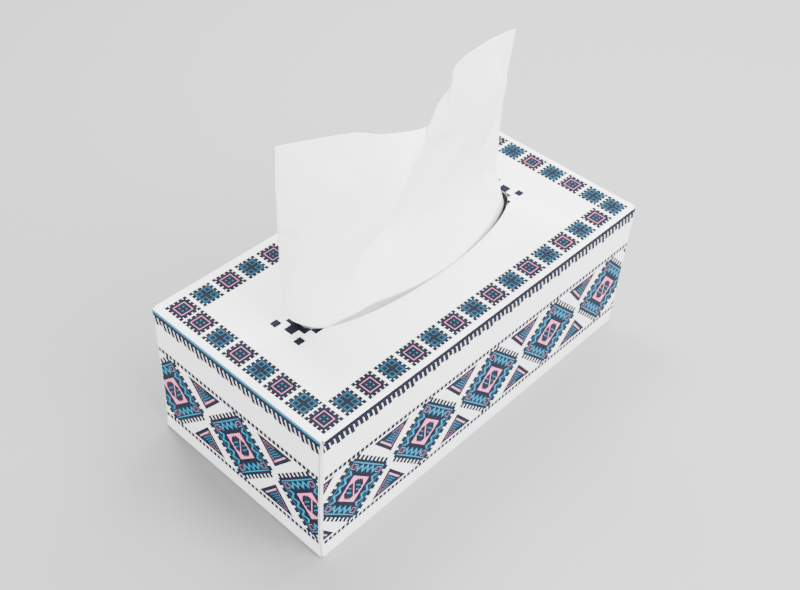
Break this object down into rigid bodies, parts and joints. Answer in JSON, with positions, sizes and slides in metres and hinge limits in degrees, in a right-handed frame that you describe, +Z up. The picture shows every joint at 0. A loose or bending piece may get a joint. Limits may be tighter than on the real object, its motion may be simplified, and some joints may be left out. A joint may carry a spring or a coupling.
{
  "type": "tissue box",
  "caption": "Flat printed paperboard carton with an oval slot in its top, a folded stack of soft sheets inside and a sheet standing up ready to be drawn out.",
  "frame": {"origin": "middle of the carton's bottom face", "axes": "+X along the carton, +Y across it away from the viewer's long side, +Z up; the raised sheet leans on the slot's rim on the -Y side"},
  "size_m": [0.23, 0.114, 0.192],
  "materials": {
    "board": "white coated folding board printed in dark slate blue, light blue and pale pink, smooth with a soft sheen",
    "tissue": "white creped tissue paper, fully matt and slightly translucent"
  },
  "bodies": {
    "root": {"carton": "board", "tissue_stack": "tissue", "next_tissue": "tissue", "raised_tissue": "tissue"}
  },
  "joints": []
}
